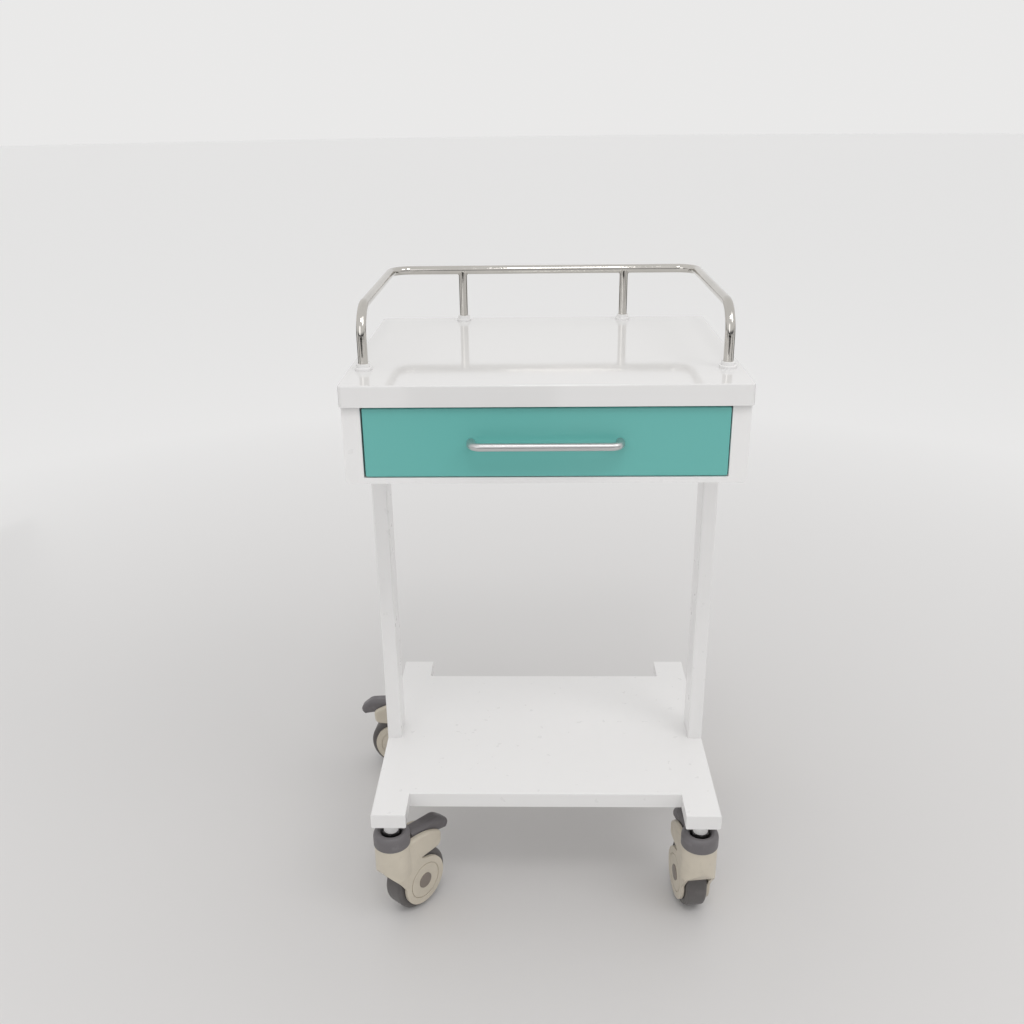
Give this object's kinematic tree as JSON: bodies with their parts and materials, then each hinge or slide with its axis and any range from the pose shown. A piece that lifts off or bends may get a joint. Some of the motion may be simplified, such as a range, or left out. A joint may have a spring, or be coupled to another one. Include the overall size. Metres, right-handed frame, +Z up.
{
  "type": "instrument cart",
  "caption": "Wheeled clinic instrument cart: railed flat worktop over a single shallow drawer, side columns, low shelf and swivel casters with brake pedals.",
  "frame": {"origin": "on the floor, under the centre of the worktop", "axes": "+Z up, -Y the side the drawer opens to, +X to the right seen from the drawer side"},
  "size_m": [0.5936, 0.4524, 0.9073],
  "materials": {
    "white_paint": "gloss",
    "teal_paint": "satin",
    "grey_paint": "satin",
    "satin_aluminium": "satin",
    "polished_steel": "polished",
    "white_plastic": "gloss",
    "zinc_steel": "zinc plated",
    "caster_stem_metal": "black plated",
    "dark_plastic": "matte",
    "beige_plastic": "satin",
    "hub_plastic": "satin",
    "grey_tyre": "matte",
    "button_plastic": "satin"
  },
  "bodies": {
    "cart_frame": {"deck": "white_paint", "cabinet_wrap": "white_paint", "back_panel": "white_paint", "front_frame": "white_paint", "column_left": "white_paint", "column_right": "white_paint", "beam_left": "white_paint", "beam_right": "white_paint", "beam_caps": "white_paint", "shelf_panel": "white_paint", "guard_rail": "polished_steel", "rail_post_left": "polished_steel", "rail_post_right": "polished_steel", "rail_collars": "white_plastic", "column_screws": "zinc_steel", "shelf_screws": "zinc_steel", "rail_screws": "zinc_steel", "caster_inserts": "zinc_steel", "caster_spacers": "white_plastic", "slide_outer_left": "zinc_steel", "slide_bracket_left": "zinc_steel", "slide_outer_right": "zinc_steel", "slide_bracket_right": "zinc_steel", "caster_stem_front_left": "caster_stem_metal", "caster_stem_front_right": "caster_stem_metal", "caster_stem_rear_left": "caster_stem_metal", "caster_stem_rear_right": "caster_stem_metal"},
    "drawer": {"drawer_front": "teal_paint", "drawer_box": "grey_paint", "handle": "satin_aluminium", "handle_screws": "zinc_steel", "slide_inner_left": "zinc_steel", "slide_inner_right": "zinc_steel"},
    "slide_mid_l": {"slide_mid_left": "zinc_steel"},
    "slide_mid_r": {"slide_mid_right": "zinc_steel"},
    "fork_front_left": {"caster_cap_front_left": "dark_plastic", "caster_housing_front_left": "beige_plastic", "caster_axle_front_left": "button_plastic"},
    "wheel_front_left": {"caster_hub_front_left": "hub_plastic", "caster_tyre_front_left": "grey_tyre"},
    "brake_front_left": {"caster_pedal_front_left": "dark_plastic"},
    "fork_front_right": {"caster_cap_front_right": "dark_plastic", "caster_housing_front_right": "beige_plastic", "caster_axle_front_right": "button_plastic"},
    "wheel_front_right": {"caster_hub_front_right": "hub_plastic", "caster_tyre_front_right": "grey_tyre"},
    "brake_front_right": {"caster_pedal_front_right": "dark_plastic"},
    "fork_rear_left": {"caster_cap_rear_left": "dark_plastic", "caster_housing_rear_left": "beige_plastic", "caster_axle_rear_left": "button_plastic"},
    "wheel_rear_left": {"caster_hub_rear_left": "hub_plastic", "caster_tyre_rear_left": "grey_tyre"},
    "brake_rear_left": {"caster_pedal_rear_left": "dark_plastic"},
    "fork_rear_right": {"caster_cap_rear_right": "dark_plastic", "caster_housing_rear_right": "beige_plastic", "caster_axle_rear_right": "button_plastic"},
    "wheel_rear_right": {"caster_hub_rear_right": "hub_plastic", "caster_tyre_rear_right": "grey_tyre"},
    "brake_rear_right": {"caster_pedal_rear_right": "dark_plastic"}
  },
  "joints": [
    {"name": "drawer_slide", "type": "slide", "parent": "cart_frame", "child": "drawer", "axis": [0, -1, 0], "range_m": [0, 0.3]},
    {"name": "slide_mid_left_run", "type": "slide", "parent": "cart_frame", "child": "slide_mid_l", "axis": [0, -1, 0], "range_m": [0, 0.15]},
    {"name": "slide_mid_right_run", "type": "slide", "parent": "cart_frame", "child": "slide_mid_r", "axis": [0, -1, 0], "range_m": [0, 0.15]},
    {"name": "swivel_front_left", "type": "hinge", "parent": "cart_frame", "child": "fork_front_left", "pos_m": [-0.224, -0.193, 0.12], "axis": [0, 0, 1], "continuous": true},
    {"name": "wheel_spin_front_left", "type": "hinge", "parent": "fork_front_left", "child": "wheel_front_left", "pos_m": [-0.19774, -0.16022, 0.048], "axis": [0.7804, -0.6252, 0], "continuous": true},
    {"name": "brake_front_left_press", "type": "hinge", "parent": "fork_front_left", "child": "brake_front_left", "pos_m": [-0.19899, -0.16178, 0.124], "axis": [-0.7804, 0.6252, 0], "range_deg": [0, 7]},
    {"name": "swivel_front_right", "type": "hinge", "parent": "cart_frame", "child": "fork_front_right", "pos_m": [0.224, -0.193, 0.12], "axis": [0, 0, 1], "continuous": true},
    {"name": "wheel_spin_front_right", "type": "hinge", "parent": "fork_front_right", "child": "wheel_front_right", "pos_m": [0.21881, -0.15132, 0.048], "axis": [0.9923, 0.1236, 0], "continuous": true},
    {"name": "brake_front_right_press", "type": "hinge", "parent": "fork_front_right", "child": "brake_front_right", "pos_m": [0.21906, -0.15331, 0.124], "axis": [-0.9923, -0.1236, 0], "range_deg": [0, 7]},
    {"name": "swivel_rear_left", "type": "hinge", "parent": "cart_frame", "child": "fork_rear_left", "pos_m": [-0.224, 0.193, 0.12], "axis": [0, 0, 1], "continuous": true},
    {"name": "wheel_spin_rear_left", "type": "hinge", "parent": "fork_rear_left", "child": "wheel_rear_left", "pos_m": [-0.26577, 0.19739, 0.048], "axis": [0.1045, 0.9945, 0], "continuous": true},
    {"name": "brake_rear_left_press", "type": "hinge", "parent": "fork_rear_left", "child": "brake_rear_left", "pos_m": [-0.26378, 0.19718, 0.124], "axis": [-0.1045, -0.9945, 0], "range_deg": [0, 7]},
    {"name": "swivel_rear_right", "type": "hinge", "parent": "cart_frame", "child": "fork_rear_right", "pos_m": [0.224, 0.193, 0.12], "axis": [0, 0, 1], "continuous": true},
    {"name": "wheel_spin_rear_right", "type": "hinge", "parent": "fork_rear_right", "child": "wheel_rear_right", "pos_m": [0.23273, 0.15192, 0.048], "axis": [-0.9781, -0.2079, 0], "continuous": true},
    {"name": "brake_rear_right_press", "type": "hinge", "parent": "fork_rear_right", "child": "brake_rear_right", "pos_m": [0.23232, 0.15387, 0.124], "axis": [0.9781, 0.2079, 0], "range_deg": [0, 7]}
  ],
  "couplings": [
    {"joint": "slide_mid_left_run", "follows": "drawer_slide", "ratio": 0.5},
    {"joint": "slide_mid_right_run", "follows": "drawer_slide", "ratio": 0.5}
  ]
}
